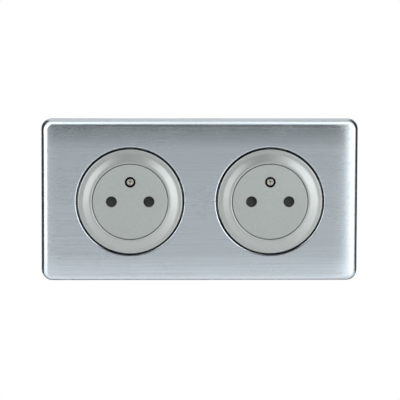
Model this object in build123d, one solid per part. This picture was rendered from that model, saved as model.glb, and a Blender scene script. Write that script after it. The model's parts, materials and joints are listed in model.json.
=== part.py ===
from build123d import *
import os
from math import asin, atan2, cos, degrees, radians, sin

# Double wall socket: two flush sockets side by side under one brushed metal plate.
# X runs to the right as seen from the front, Z runs up, and the front looks along -Y.
# The wall is the plane Y = 0, and the origin lies midway between the sockets. Millimetres.

# Layout of the sockets
socket_pitch = 71.0
pin_spacing = 19.0
earth_height = 10.0
plug_pin_length = 19.0

# Cover plate
plate_width = 161.0
plate_height = 83.0
plate_depth = 8.8
plate_corner_radius = 5.5
plate_draft = 1.2
plate_edge_round = 3.0
crown_radius = 100.0
crown_run = 15.0
skin_wall = 0.9
opening_round = 0.7
collar_depth = 3.0
bond_gap = 0.05
carrier_wall = 1.5
carrier_collar_depth = 2.2
wall_gap = 0.4

# Trim ring
ring_radius = 26.5
ring_shadow_gap = 0.7
ring_stand = 2.2
ring_rim_stand = 0.95
ring_lip_round = 0.6
ring_rim_round = 0.5
ring_rim_width = 2.3
ring_wall = 1.4
ring_skirt_wall = 1.25
ring_outer_wall_back = 2.4

# Sliding disc
disc_radius = 19.1
disc_gap = 0.25
disc_recess = 0.2
disc_wall = 1.9
disc_edge_round = 0.4
disc_travel = 15.0
pin_hole_radius = 2.8
earth_hole_radius = 2.95
skirt_wall = 1.2
lug_height = 1.2
lug_width = 5.0
lug_depth = 1.4
lug_angles = (90, 210, 330)

# Shutter behind the disc
shutter_height = 7.2
shutter_depth = 2.3
shutter_edge = 0.7
shutter_travel = 6.6
shutter_gap = 0.2
shutter_side_gap = 0.15
tongue_width = 5.0
tongue_length = 2.4
rail_wall = 0.7
rail_gap = 0.45
cover_wall = 1.2
cover_margin = 0.6
peg_radius = 0.8
peg_boss_radius = 1.4
peg_boss_gap = 0.6
upper_peg_side = 11.2
lower_peg_side = 6.5

# Springs
disc_spring_gap = 0.4
disc_spring_angle = 45.0
disc_spring_radius = 1.6
disc_spring_wire = 0.3
disc_spring_turns = 7
shutter_spring_radius = 0.8
shutter_spring_wire = 0.2
shutter_spring_turns = 6
post_radius = 1.1
post_height = 4.0

# Well sleeve, the front half of each housing
sleeve_wall = 2.4
slide_gap = 0.3
stop_gap = 0.2
flange_width = 50.0
flange_wall = 1.8
flange_corner_radius = 6.0
screw_boss_radius = 3.0
screw_boss_inset = 4.5
clip_width = 5.0
clip_wall = 1.4
clip_hook = 1.0
clip_hook_depth = 1.7
clip_height = 15.0

# Well floor, rear base and its chambers
floor_wall = 1.2
floor_rim_gap = 0.6
pin_end_gap = 1.1
base_floor = 2.2
base_wall = 1.6
base_corner_radius = 5.0
chamber_wall = 1.2
chamber_gap = 0.25

# Contacts and terminals
grip_radius = 2.35
contact_wall = 0.7
contact_flare = 0.35
contact_slot = 0.9
contact_slot_share = 0.7
strap_wall = 0.8
tail_depth = 5.0
terminal_width = 7.5
terminal_length = 9.0
terminal_side = 14.0
terminal_drop = 9.5
earth_terminal_height = 15.9
wire_radius = 1.6
wire_entry_gap = 0.3
terminal_screw_radius = 1.25
terminal_head_radius = 2.3
terminal_head_height = 1.4
terminal_screw_gap = 0.1
access_gap = 0.3
earth_pin_radius = 2.4
earth_pin_recess = 0.8
earth_pin_round = 0.9
earth_shank_radius = 2.1
earth_flange_radius = 3.6
rivet_radius = 1.4
rivet_head_radius = 2.0
rivet_length = 0.6

# Housing screws
housing_screw_radius = 1.2
housing_head_radius = 2.4
housing_head_height = 1.4
housing_head_gap = 0.2
housing_screw_length = 20.0
screw_slot_width = 0.6
screw_slot_depth = 0.6

# Mounting frame of pressed steel
frame_side_margin = 7.5
frame_top_margin = 5.5
frame_wall = 1.2
frame_corner_radius = 3.0
frame_opening_gap = 0.5
frame_lip_depth = 5.0
frame_lip_end = 5.6
box_screw_spacing = 60.0
box_slot_width = 4.2
box_slot_length = 9.0
bead_length = 40.0
bead_width = 3.0
bead_height = 0.8
bead_places = (-7.0, 7.0)

# Snap legs that hold the plate on the frame's lips
leg_width = 7.0
leg_wall = 1.2
leg_gap = 0.15
leg_side = 18.0
hook_width = 5.0
hook_depth = 1.2
window_gap = 0.4

# Depths, counted from the wall and negative towards the room
plate_front = -plate_depth
ring_crest = plate_front - ring_stand
ring_rim_front = plate_front - ring_rim_stand
disc_front = ring_crest + disc_recess
disc_back = disc_front + disc_wall
shutter_front = disc_back + shutter_gap
shutter_back = shutter_front + shutter_depth
cover_front = shutter_back + shutter_gap
cover_back = cover_front + cover_wall
skirt_back = cover_back + slide_gap * 2
lug_front = skirt_back - lug_depth
sleeve_front = lug_front - stop_gap
floor_front = skirt_back + disc_travel + slide_gap
floor_back = floor_front + floor_wall
chamber_floor = disc_front + disc_travel + plug_pin_length + pin_end_gap
base_back = chamber_floor + base_floor
terminal_front = chamber_floor - terminal_length
terminal_middle = (terminal_front + chamber_floor) / 2
flange_back = -frame_wall
flange_front = flange_back - flange_wall

# Radii and widths that follow from the pieces they fit
opening_radius = ring_radius + ring_shadow_gap
carrier_opening_radius = opening_radius + skin_wall + bond_gap
ring_bore = disc_radius + disc_gap
sleeve_bore = ring_bore + disc_gap
sleeve_radius = sleeve_bore + sleeve_wall
lug_radius = disc_radius + lug_height
groove_radius = lug_radius + slide_gap
skirt_bore = disc_radius - skirt_wall
base_width = sleeve_radius * 2
screw_place = base_width / 2 - screw_boss_inset
floor_radius = sleeve_radius - floor_rim_gap
contact_radius = grip_radius + contact_wall
disc_spring_outer = disc_spring_radius + disc_spring_wire
disc_spring_reach = skirt_bore - disc_spring_gap - disc_spring_outer
disc_spring_x = disc_spring_reach * cos(radians(disc_spring_angle))
disc_spring_z = disc_spring_reach * sin(radians(disc_spring_angle))
pin_x = pin_spacing / 2
rail_inner = pin_x + pin_hole_radius + rail_gap
rail_outer = rail_inner + rail_wall
shutter_width = 2 * (rail_inner - shutter_side_gap)
shutter_bottom = -shutter_height / 2
upper_peg_height = -shutter_bottom + peg_boss_gap + peg_boss_radius
lower_peg_height = shutter_bottom - shutter_travel - peg_boss_gap - peg_boss_radius
peg_places = ((upper_peg_side, upper_peg_height), (lower_peg_side, lower_peg_height))
spring_seat = -skirt_bore + rail_wall * 3
frame_width = plate_width - 2 * frame_side_margin
frame_height = plate_height - 2 * frame_top_margin
socket_places = (-socket_pitch / 2, socket_pitch / 2)
leg_places = [x + side for x in socket_places for side in (-leg_side, leg_side)]
half_window = hook_width / 2 + window_gap
frame_lip_length = 2 * (max(leg_places) + half_window + frame_lip_end)
overrun = 1.0


def front_view(depth):
    """Drawing plane parallel to the wall, with X to the right and Z up."""
    return Plane(origin=(0, depth, 0), x_dir=(1, 0, 0), z_dir=(0, -1, 0))


def prism(outline, front, back):
    """Solid of one outline between two depths."""
    return extrude(front_view(back) * outline, back - front)


def rod(radius, front, back, x=0.0, z=0.0):
    """Round bar along Y."""
    return prism(Pos(x, z) * Circle(radius), front, back)


def turned(outline):
    """Solid of revolution about the Y axis, from an outline of radius and depth."""
    return revolve(outline, Axis.Y)


def block(x_low, x_high, front, back, z_low, z_high):
    """Plain box between its limits."""
    size = (x_high - x_low, back - front, z_high - z_low)
    middle = ((x_low + x_high) / 2, (front + back) / 2, (z_low + z_high) / 2)
    return Pos(*middle) * Box(*size)


def both_sides(piece):
    """The piece and its mirror image across the socket's middle."""
    return piece + mirror(piece, Plane.YZ)


# Cover plate


def plate_outline(inset, depth):
    """Rounded rectangle of the plate's sides at one depth, drawn on that depth."""
    lean = inset - plate_draft * depth / plate_depth
    width = plate_width - 2 * lean
    height = plate_height - 2 * lean
    corner = max(plate_corner_radius - inset, skin_wall)
    return front_view(depth) * RectangleRounded(width, height, corner)


def crowned_face(inset):
    """Body whose front is flat in the middle and bends back near all four edges."""
    front = plate_front + inset
    radius = crown_radius - inset
    centre = front + radius
    flat_x = plate_width / 2 - crown_run
    flat_z = plate_height / 2 - crown_run
    reach = crown_run + overrun
    bend = degrees(asin(reach / radius))
    upper = CenterArc((centre, flat_z), radius, 180, -bend)
    lower = CenterArc((centre, -flat_z), radius, 180, bend)
    top = flat_z + reach
    back = Polyline(upper @ 1, (overrun, top), (overrun, -top), lower @ 1)
    section = Plane.YZ * make_face([Line(lower @ 0, upper @ 0), upper, back, lower])
    turn = degrees(asin((reach + overrun) / (radius - plate_depth)))
    middle = extrude(Pos(-flat_x, 0, 0) * section, dir=(1, 0, 0), amount=2 * flat_x)
    right_axis = Axis((flat_x, centre, 0), (0, 0, 1))
    right = revolve(Pos(flat_x, 0, 0) * section, right_axis, turn)
    return middle + right + mirror(right, Plane.YZ)


def plate_block(inset, back):
    """The plate's outer form, drawn in by one inset on every side."""
    sides = loft([plate_outline(inset, back), plate_outline(inset, plate_front - overrun)], ruled=True)
    form = sides & crowned_face(inset)
    rim_x = plate_width / 2 - plate_edge_round - inset
    rim_z = plate_height / 2 - plate_edge_round - inset
    rim = [
        edge
        for edge in form.edges()
        if edge.center().Y < plate_front / 2
        and edge.bounding_box().size.Y < plate_depth / 3
        and (abs(edge.center().X) > rim_x or abs(edge.center().Z) > rim_z)
    ]
    return fillet(rim, max(plate_edge_round - inset, skin_wall / 2))


def plate_skin():
    """Formed metal skin, with a collar turned inwards around each opening."""
    skin = plate_block(0, 0) - plate_block(skin_wall, overrun)
    lip_radius = opening_radius + opening_round
    lip = CenterArc((lip_radius, plate_front + opening_round), opening_round, 180, 90)
    outside = Polyline(
        lip @ 1,
        (lip_radius, plate_front - overrun),
        (0, plate_front - overrun),
        (0, plate_front + collar_depth),
        (opening_radius, plate_front + collar_depth),
        lip @ 0,
    )
    opening = turned(make_face([lip, outside]))
    collar = rod(opening_radius + skin_wall, plate_front + skin_wall / 2, plate_front + collar_depth)
    for x in socket_places:
        skin += Pos(x, 0, 0) * collar
        skin -= Pos(x, 0, 0) * opening
    return skin


def plate_carrier():
    """Moulded liner that is glued into the skin and snaps onto the frame."""
    outer = skin_wall + bond_gap
    inner = outer + carrier_wall
    carrier = plate_block(outer, -wall_gap) - plate_block(inner, overrun)
    inner_front = plate_front + inner
    for x in socket_places:
        rib = Circle(carrier_opening_radius + carrier_wall)
        hole = Circle(carrier_opening_radius)
        carrier += Pos(x, 0, 0) * prism(rib, inner_front, inner_front + carrier_collar_depth)
        carrier -= Pos(x, 0, 0) * prism(hole, plate_front, inner_front + carrier_collar_depth)
    leg_bottom = frame_height / 2 + leg_gap
    hook_back = -frame_lip_depth / 2 + hook_depth / 2
    for x in leg_places:
        leg = block(
            x - leg_width / 2, x + leg_width / 2,
            inner_front, flange_back - stop_gap,
            leg_bottom, leg_bottom + leg_wall,
        )
        leg += block(
            x - hook_width / 2, x + hook_width / 2,
            hook_back - hook_depth, hook_back,
            frame_height / 2 - frame_wall, leg_bottom,
        )
        carrier += leg + mirror(leg, Plane.XY)
    return carrier


# Mounting frame


def mounting_frame():
    """Pressed steel frame: openings for the housings, slots for box screws, lips and beads."""
    opening_width = base_width + 2 * frame_opening_gap
    outline = RectangleRounded(frame_width, frame_height, frame_corner_radius)
    for x in socket_places:
        outline -= Pos(x, 0) * RectangleRounded(opening_width, opening_width, frame_corner_radius)
        for z in (-box_screw_spacing / 2, box_screw_spacing / 2):
            outline -= Pos(x, z) * SlotOverall(box_slot_length, box_slot_width)
    frame = prism(outline, -frame_wall, 0)
    lip = block(
        -frame_lip_length / 2, frame_lip_length / 2,
        -frame_lip_depth, 0,
        frame_height / 2 - frame_wall, frame_height / 2,
    )
    for x in leg_places:
        lip -= block(
            x - half_window, x + half_window,
            -frame_lip_depth / 2 - hook_depth / 2 - window_gap,
            -frame_lip_depth / 2 + hook_depth / 2 + window_gap,
            frame_height / 2 - frame_wall - overrun, frame_height / 2 + overrun,
        )
    frame += lip + mirror(lip, Plane.XY)
    for x in bead_places:
        ridge = Pos(x, 0) * SlotOverall(bead_length, bead_width, rotation=90)
        groove = Pos(x, 0) * SlotOverall(
            bead_length - 2 * bead_height, bead_width - 2 * bead_height, rotation=90
        )
        frame += prism(ridge, -frame_wall - bead_height, -frame_wall)
        frame -= prism(groove, -bead_height, 0)
    return frame


# Trim ring and sliding disc


def trim_ring():
    """Ring around the disc: high at its inner lip, falling in one sweep to a flat rim."""
    crest_radius = ring_bore + ring_lip_round
    rim_start = ring_radius - ring_rim_width
    skirt_inner = sleeve_radius + disc_gap / 2
    skirt_outer = skirt_inner + ring_skirt_wall
    cavity = ring_rim_front + ring_wall
    outer_inner = ring_radius - ring_skirt_wall
    outer_back = ring_rim_front + ring_wall + ring_outer_wall_back
    skirt_end = flange_front - stop_gap
    sweep_width = rim_start - crest_radius
    sweep_bend = 2 * atan2(ring_rim_front - ring_crest, sweep_width)
    sweep_radius = sweep_width / 2 / sin(sweep_bend)
    section = make_face(
        [
            Line((ring_bore, sleeve_front), (ring_bore, ring_crest + ring_lip_round)),
            CenterArc((crest_radius, ring_crest + ring_lip_round), ring_lip_round, 180, 90),
            CenterArc((crest_radius, ring_crest + sweep_radius), sweep_radius, 270, degrees(sweep_bend)),
            CenterArc(
                (rim_start, ring_rim_front - sweep_radius),
                sweep_radius, 90 + degrees(sweep_bend), -degrees(sweep_bend),
            ),
            Line((rim_start, ring_rim_front), (ring_radius - ring_rim_round, ring_rim_front)),
            CenterArc(
                (ring_radius - ring_rim_round, ring_rim_front + ring_rim_round), ring_rim_round, 270, 90
            ),
            Polyline(
                (ring_radius, ring_rim_front + ring_rim_round),
                (ring_radius, outer_back),
                (outer_inner, outer_back),
                (outer_inner, cavity),
                (skirt_outer, cavity),
                (skirt_outer, skirt_end),
                (skirt_inner, skirt_end),
                (skirt_inner, cavity),
                (ring_bore + ring_wall, cavity),
                (ring_bore + ring_wall, sleeve_front),
                (ring_bore, sleeve_front),
            ),
        ]
    )
    return turned(section)


def socket_disc():
    """Flat disc with the pin holes, its skirt, stop lugs, shutter rails and pegs."""
    edge = disc_radius - disc_edge_round
    disc = turned(
        make_face(
            [
                Line((0, disc_front), (edge, disc_front)),
                CenterArc((edge, disc_front + disc_edge_round), disc_edge_round, 270, 90),
                Polyline(
                    (disc_radius, disc_front + disc_edge_round),
                    (disc_radius, skirt_back),
                    (skirt_bore, skirt_back),
                    (skirt_bore, disc_back),
                    (0, disc_back),
                    (0, disc_front),
                ),
            ]
        )
    )
    lug = block(disc_radius - skirt_wall / 2, lug_radius, lug_front, skirt_back, -lug_width / 2, lug_width / 2)
    for angle in lug_angles:
        disc += Rot(0, angle, 0) * lug
    rail = block(
        rail_inner, rail_outer,
        disc_back, cover_front,
        shutter_bottom - shutter_travel - rail_wall, -shutter_bottom + rail_wall,
    )
    rail &= rod(skirt_bore, disc_back, cover_front)
    for x, z in peg_places:
        rail += rod(peg_boss_radius, disc_back, cover_front, x, z)
        rail += rod(peg_radius, cover_front, cover_back, x, z)
    disc += both_sides(rail)
    seat_half = shutter_spring_radius + shutter_spring_wire + rail_wall
    disc += block(-seat_half, seat_half, disc_back, cover_front, spring_seat - rail_wall, spring_seat)
    for x in (-pin_x, pin_x):
        disc -= rod(pin_hole_radius, disc_front, disc_back, x, 0)
    return disc - rod(earth_hole_radius, disc_front, disc_back, 0, earth_height)


def shutter():
    """Bar that closes both pin holes, with a slope that lets two pins push it down."""
    top = shutter_height / 2
    section = Plane.YZ * make_face(
        Polyline(
            (shutter_front, -top),
            (shutter_back, -top),
            (shutter_back, top),
            (shutter_back - shutter_edge, top),
            (shutter_front, -top),
        )
    )
    bar = extrude(Pos(-shutter_width / 2, 0, 0) * section, dir=(1, 0, 0), amount=shutter_width)
    tongue = block(
        -tongue_width / 2, tongue_width / 2,
        shutter_front, shutter_back,
        -top - tongue_length, -top,
    )
    waist = block(
        -tongue_width / 2, tongue_width / 2,
        shutter_front - overrun, shutter_back - shutter_edge,
        0, top + overrun,
    )
    return bar + tongue - waist


def shutter_cover():
    """Thin plate staked onto the disc, which keeps the shutter in its rails."""
    top = earth_height - earth_pin_radius - cover_margin
    outline = Circle(skirt_bore - cover_margin) & (
        Pos(0, (top - disc_radius) / 2) * Rectangle(2 * rail_outer, top + disc_radius)
    )
    for x in (-pin_x, pin_x):
        outline -= Pos(x, 0) * Circle(pin_hole_radius)
    for x, z in peg_places:
        outline -= Pos(x, z) * Circle(peg_radius)
        outline -= Pos(-x, z) * Circle(peg_radius)
    return prism(outline, cover_front, cover_back)


def coil(radius, wire, turns, length):
    """Compression spring that stands on the XY plane."""
    rise = length - 2 * wire
    path = Helix(pitch=rise / turns, height=rise, radius=radius)
    section = Plane(origin=path @ 0, z_dir=path % 0) * RegularPolygon(wire, 6)
    return Pos(0, 0, wire) * sweep(section, path=path, is_frenet=True)


def disc_springs():
    """Two springs that push the disc out, one on each side."""
    spring = coil(disc_spring_radius, disc_spring_wire, disc_spring_turns, floor_front - disc_back)
    return both_sides(Pos(disc_spring_x, floor_front, disc_spring_z) * Rot(90, 0, 0) * spring)


def shutter_spring():
    """Small spring that pushes the shutter up over the pin holes."""
    foot = shutter_bottom - tongue_length
    spring = coil(
        shutter_spring_radius, shutter_spring_wire, shutter_spring_turns, foot - spring_seat
    )
    return Pos(0, (shutter_front + shutter_back) / 2, spring_seat) * spring


# Housing


def well_sleeve():
    """Guide tube of the disc, with the flange that rests on the frame and its clips."""
    sleeve = rod(sleeve_radius, sleeve_front, floor_front)
    flange = RectangleRounded(flange_width, flange_width, flange_corner_radius)
    sleeve += prism(flange, flange_front, flange_back)
    for sign in (-1, 1):
        place = (sign * screw_place, sign * screw_place)
        sleeve += rod(screw_boss_radius, flange_back, floor_back, *place)
        sleeve -= rod(housing_screw_radius, base_back - housing_screw_length, floor_back, *place)
    clip_x = base_width / 2 - clip_wall + frame_opening_gap / 2
    clip = block(
        clip_x, clip_x + clip_wall,
        flange_back, clip_hook_depth,
        clip_height - clip_width / 2, clip_height + clip_width / 2,
    )
    hook = block(
        clip_x, clip_x + clip_wall + clip_hook,
        bond_gap, clip_hook_depth,
        clip_height - clip_width / 2, clip_height + clip_width / 2,
    )
    clip += chamfer(hook.edges().filter_by(Axis.Z).group_by(Axis.X)[-1].sort_by(Axis.Y)[-1], clip_hook / 2)
    clips = both_sides(clip)
    sleeve += clips + mirror(clips, Plane.XY)
    sleeve -= rod(sleeve_bore, sleeve_front, floor_front)
    groove = block(
        sleeve_bore - sleeve_wall, groove_radius,
        sleeve_front, floor_front,
        -lug_width / 2 - slide_gap, lug_width / 2 + slide_gap,
    )
    for angle in lug_angles:
        sleeve -= Rot(0, angle, 0) * groove
    return sleeve


def well_floor():
    """Insulating floor of the well, with the pins' holes and the posts of the springs."""
    floor = rod(floor_radius, floor_front, floor_back)
    for x in (-disc_spring_x, disc_spring_x):
        floor += rod(post_radius, floor_front - post_height, floor_front, x, disc_spring_z)
    for x in (-pin_x, pin_x):
        floor -= rod(pin_hole_radius, floor_front, floor_back, x, 0)
    return floor - rod(earth_shank_radius, floor_front, floor_back, 0, earth_height)


def chamber_outlines(growth):
    """Outlines of the line, neutral and earth chambers, grown by one margin."""
    inner = pin_x - contact_radius - contact_flare - chamber_gap
    outer = terminal_side + terminal_width / 2 + chamber_gap
    low = -terminal_drop - terminal_width / 2 - chamber_gap
    high = contact_radius + contact_flare + chamber_gap
    side = Pos((inner + outer) / 2, (low + high) / 2) * Rectangle(
        outer - inner + 2 * growth, high - low + 2 * growth
    )
    earth_low = earth_height - earth_flange_radius - chamber_gap
    earth_high = earth_terminal_height + terminal_width / 2 + chamber_gap
    earth = Pos(0, (earth_low + earth_high) / 2) * Rectangle(
        terminal_width + 2 * chamber_gap + 2 * growth, earth_high - earth_low + 2 * growth
    )
    return side + mirror(side, Plane.YZ) + earth


def rear_base():
    """Rear half of the housing: a walled tray with three chambers and two screw columns."""
    inner_width = base_width - 2 * base_wall
    tray = prism(RectangleRounded(base_width, base_width, base_corner_radius), floor_back, base_back)
    hollow = RectangleRounded(inner_width, inner_width, base_corner_radius - base_wall)
    hollow -= chamber_outlines(chamber_wall)
    for sign in (-1, 1):
        hollow -= Pos(sign * screw_place, sign * screw_place) * Circle(screw_boss_radius)
    tray -= prism(hollow, floor_back, chamber_floor)
    tray -= prism(chamber_outlines(0), floor_back, chamber_floor)
    head_depth = housing_head_height + housing_head_gap
    for sign in (-1, 1):
        place = (sign * screw_place, sign * screw_place)
        tray -= rod(housing_screw_radius, floor_back, base_back, *place)
        tray -= rod(housing_head_radius + housing_head_gap, base_back - head_depth, base_back, *place)
    entry_radius = wire_radius + wire_entry_gap
    for x, z in terminal_places():
        tray -= rod(entry_radius, chamber_floor, base_back, x, z)
    access_radius = terminal_head_radius + access_gap
    for x, z, turn in screw_seats():
        hole = Cylinder(access_radius, base_width / 2, align=(Align.CENTER, Align.CENTER, Align.MIN))
        tray -= Pos(x, terminal_middle, z) * Rot(0, turn, 0) * hole
    return tray


# Contacts and terminals


def terminal_places():
    """Where the wires run into the line, neutral and earth terminals, seen from the front."""
    return (
        (-terminal_side, -terminal_drop),
        (terminal_side, -terminal_drop),
        (0, earth_terminal_height),
    )


def screw_seats():
    """Where each terminal screw's head sits, and the turn that points it outwards."""
    reach = terminal_width / 2 + chamber_gap
    return (
        (-terminal_side - reach, -terminal_drop, -90),
        (terminal_side + reach, -terminal_drop, 90),
        (0, earth_terminal_height + reach, 0),
    )


def neutral_contact():
    """Slotted brass sleeve that grips a plug pin, with a tail beside its terminal."""
    mouth = floor_back + chamber_wall
    sleeve = turned(
        make_face(
            Polyline(
                (grip_radius, mouth + 2 * contact_flare),
                (grip_radius + contact_flare, mouth),
                (contact_radius + contact_flare, mouth),
                (contact_radius, mouth + 3 * contact_flare),
                (contact_radius, chamber_floor),
                (grip_radius, chamber_floor),
                (grip_radius, mouth + 2 * contact_flare),
            )
        )
    )
    reach = contact_radius + overrun
    slot_end = mouth + (chamber_floor - mouth) * contact_slot_share
    sleeve -= block(-reach, reach, mouth, slot_end, -contact_slot / 2, contact_slot / 2)
    sleeve -= block(-contact_slot / 2, contact_slot / 2, mouth, slot_end, -reach, reach)
    sleeve = Pos(pin_x, 0, 0) * sleeve
    tail_side = terminal_side - terminal_width / 2
    tail = block(
        tail_side - strap_wall, tail_side,
        chamber_floor - tail_depth, chamber_floor,
        -terminal_drop - terminal_width / 2, -grip_radius - contact_wall / 2,
    )
    return sleeve + tail


def terminal(x, z, turn):
    """Brass block with a wire bore from the rear and a clamping screw from the side."""
    half = terminal_width / 2
    body = block(-half, half, terminal_front, chamber_floor, -half, half)
    body = chamfer(body.edges().filter_by(Axis.Y), bond_gap * 8)
    body -= rod(wire_radius, terminal_front, chamber_floor)
    thread = Cylinder(terminal_screw_radius, half, align=(Align.CENTER, Align.CENTER, Align.MIN))
    body -= Pos(0, terminal_middle, 0) * Rot(0, turn, 0) * thread
    return Pos(x, 0, z) * body


def screw(head_radius, head_height, shank_radius, shank_length):
    """Slotted screw with its head above the XY plane and its shank below."""
    head = Cylinder(head_radius, head_height, align=(Align.CENTER, Align.CENTER, Align.MIN))
    shank = Cylinder(shank_radius, shank_length, align=(Align.CENTER, Align.CENTER, Align.MAX))
    slot = Pos(0, 0, head_height) * Box(2 * head_radius, screw_slot_width, 2 * screw_slot_depth)
    return head + shank - slot


def terminal_screws():
    """The clamping screws of one socket's terminals, as separate solids."""
    shank = terminal_width / 2 + chamber_gap - wire_radius - terminal_screw_gap
    one = screw(terminal_head_radius, terminal_head_height, terminal_screw_radius, shank)
    return Compound([Pos(x, terminal_middle, z) * Rot(0, turn, 0) * one for x, z, turn in screw_seats()])


def housing_screws():
    """The screws that join the rear base to the sleeve, put in from the rear."""
    seat = base_back - housing_head_height - housing_head_gap
    shank = housing_screw_length - housing_head_height - housing_head_gap - stop_gap
    one = screw(housing_head_radius, housing_head_height, housing_screw_radius, shank)
    return Compound(
        [Pos(sign * screw_place, seat, sign * screw_place) * Rot(-90, 0, 0) * one for sign in (-1, 1)]
    )


def earth_pin():
    """Round-nosed earth pin, shouldered in the well floor and riveted to its strap."""
    tip = disc_front + earth_pin_recess
    shoulder = disc_front + disc_travel
    flange_end = terminal_front - strap_wall
    nose = earth_pin_radius - earth_pin_round
    pin = turned(
        make_face(
            [
                Line((0, tip), (nose, tip)),
                CenterArc((nose, tip + earth_pin_round), earth_pin_round, 270, 90),
                Polyline(
                    (earth_pin_radius, tip + earth_pin_round),
                    (earth_pin_radius, shoulder),
                    (earth_shank_radius, shoulder),
                    (earth_shank_radius, floor_back),
                    (earth_flange_radius, floor_back),
                    (earth_flange_radius, flange_end),
                    (rivet_radius, flange_end),
                    (rivet_radius, terminal_front),
                    (rivet_head_radius, terminal_front),
                    (rivet_head_radius, terminal_front + rivet_length),
                    (0, terminal_front + rivet_length),
                    (0, tip),
                ),
            ]
        )
    )
    return Pos(0, 0, earth_height) * pin


def earth_strap():
    """Brass strap from the earth pin's rivet to the face of the earth terminal."""
    low = earth_height - earth_flange_radius
    high = earth_terminal_height + terminal_width / 2
    outline = Pos(0, (low + high) / 2) * RectangleRounded(terminal_width, high - low, rivet_radius)
    outline -= Pos(0, earth_height) * Circle(rivet_radius)
    outline -= Pos(0, earth_terminal_height) * Circle(wire_radius)
    return prism(outline, terminal_front - strap_wall, terminal_front)


def socket_pieces():
    """Every piece of one socket, placed about its own axis."""
    line_place, neutral_place, earth_place = screw_seats()
    line_wire, neutral_wire, earth_wire = terminal_places()
    return {
        "trim_ring": trim_ring(),
        "socket_disc": socket_disc(),
        "shutter": shutter(),
        "shutter_cover": shutter_cover(),
        "shutter_spring": shutter_spring(),
        "disc_springs": disc_springs(),
        "well_sleeve": well_sleeve(),
        "well_floor": well_floor(),
        "rear_base": rear_base(),
        "neutral_contact": neutral_contact(),
        "line_contact": mirror(neutral_contact(), Plane.YZ),
        "line_terminal": terminal(*line_wire, line_place[2]),
        "neutral_terminal": terminal(*neutral_wire, neutral_place[2]),
        "earth_terminal": terminal(*earth_wire, earth_place[2]),
        "terminal_screws": terminal_screws(),
        "housing_screws": housing_screws(),
        "earth_pin": earth_pin(),
        "earth_strap": earth_strap(),
    }


export_step(plate_skin(), "parts/plate_skin.step")
export_step(plate_carrier(), "parts/plate_carrier.step")
export_step(mounting_frame(), "parts/mounting_frame.step")
for name, piece in socket_pieces().items():
    for side, x in zip(("left", "right"), socket_places):
        export_step(Pos(x, 0, 0) * piece, f"parts/{side}_{name}.step")
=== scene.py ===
import json
import math
import bmesh
import bpy
from mathutils import Matrix, Vector

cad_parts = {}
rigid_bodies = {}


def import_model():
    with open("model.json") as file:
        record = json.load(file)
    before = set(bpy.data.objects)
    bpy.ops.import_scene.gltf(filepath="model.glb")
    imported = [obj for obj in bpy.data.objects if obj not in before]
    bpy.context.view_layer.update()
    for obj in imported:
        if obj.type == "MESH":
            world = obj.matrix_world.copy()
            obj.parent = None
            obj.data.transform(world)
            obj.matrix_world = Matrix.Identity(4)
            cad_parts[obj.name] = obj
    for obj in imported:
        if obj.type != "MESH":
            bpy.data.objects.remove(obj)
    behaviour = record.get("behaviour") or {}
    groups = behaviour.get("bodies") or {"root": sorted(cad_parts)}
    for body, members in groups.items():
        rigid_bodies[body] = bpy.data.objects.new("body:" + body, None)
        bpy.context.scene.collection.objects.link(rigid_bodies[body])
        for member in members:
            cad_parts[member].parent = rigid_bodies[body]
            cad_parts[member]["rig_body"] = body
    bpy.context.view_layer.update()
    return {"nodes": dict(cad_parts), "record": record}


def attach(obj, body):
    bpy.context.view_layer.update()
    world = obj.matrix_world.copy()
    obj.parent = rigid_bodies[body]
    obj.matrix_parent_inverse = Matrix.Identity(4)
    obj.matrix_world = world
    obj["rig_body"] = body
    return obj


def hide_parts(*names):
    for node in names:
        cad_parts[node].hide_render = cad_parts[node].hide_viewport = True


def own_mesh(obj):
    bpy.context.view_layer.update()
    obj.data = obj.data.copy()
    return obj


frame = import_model()
nodes = frame["nodes"]
slotOf = {row["node"]: row["material_slot"] for row in frame["record"]["subparts"]}
scene = bpy.context.scene
mm = 0.001
sides = {"left": -35.5 * mm, "right": 35.5 * mm}  # middle of each socket
gaps = {"new": 2e-6, "cad": 1e-6}  # metres: points of a new or a CAD mesh that are closer become one
print("frame loaded:", len(nodes), "nodes")


# Small helpers for node trees and meshes

def addNode(tree, kind, inputs=None, **settings):  # an input is a value or the socket that feeds it
    node = tree.nodes.new(kind)
    for name, value in settings.items():
        setattr(node, name, value)
    for key, value in (inputs or {}).items():
        if isinstance(value, bpy.types.NodeSocket):
            tree.links.new(value, node.inputs[key])
        else:
            node.inputs[key].default_value = value
    return node


def newGroup(name, kind, inputs, outputs):  # a number is a socket's own value, a word its type
    tree = bpy.data.node_groups.new(name, kind)
    for label, value in inputs.items():
        word = value if isinstance(value, str) else {int: "Int", float: "Float"}[type(value)]
        socket = tree.interface.new_socket(label, in_out="INPUT", socket_type="NodeSocket" + word)
        if word != value:
            socket.default_value = value
    for label, word in outputs.items():
        tree.interface.new_socket(label, in_out="OUTPUT", socket_type="NodeSocket" + word)
    return tree, tree.nodes.new("NodeGroupInput").outputs, tree.nodes.new("NodeGroupOutput").inputs


def mathNode(tree, operation, first, second=0.0):
    return addNode(tree, "ShaderNodeMath", {0: first, 1: second}, operation=operation).outputs[0]


def productNode(tree, first, *others):
    for other in others:
        first = mathNode(tree, "MULTIPLY", first, other)
    return first


def noiseNode(tree, vector, scale, detail, roughness):
    values = {"Vector": vector, "Scale": scale, "Detail": detail, "Roughness": roughness}
    return addNode(tree, "ShaderNodeTexNoise", values).outputs["Fac"]


def mixNumbers(tree, share, first, second):
    return addNode(tree, "ShaderNodeMix", {0: share, 2: first, 3: second}, data_type="FLOAT").outputs[0]


def mixColours(tree, share, first, second):
    return addNode(tree, "ShaderNodeMix", {0: share, 6: first, 7: second}, data_type="RGBA").outputs[2]


def linkPiece(name, mesh):
    piece = bpy.data.objects.new(name, mesh)
    scene.collection.objects.link(piece)
    return piece


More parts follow.
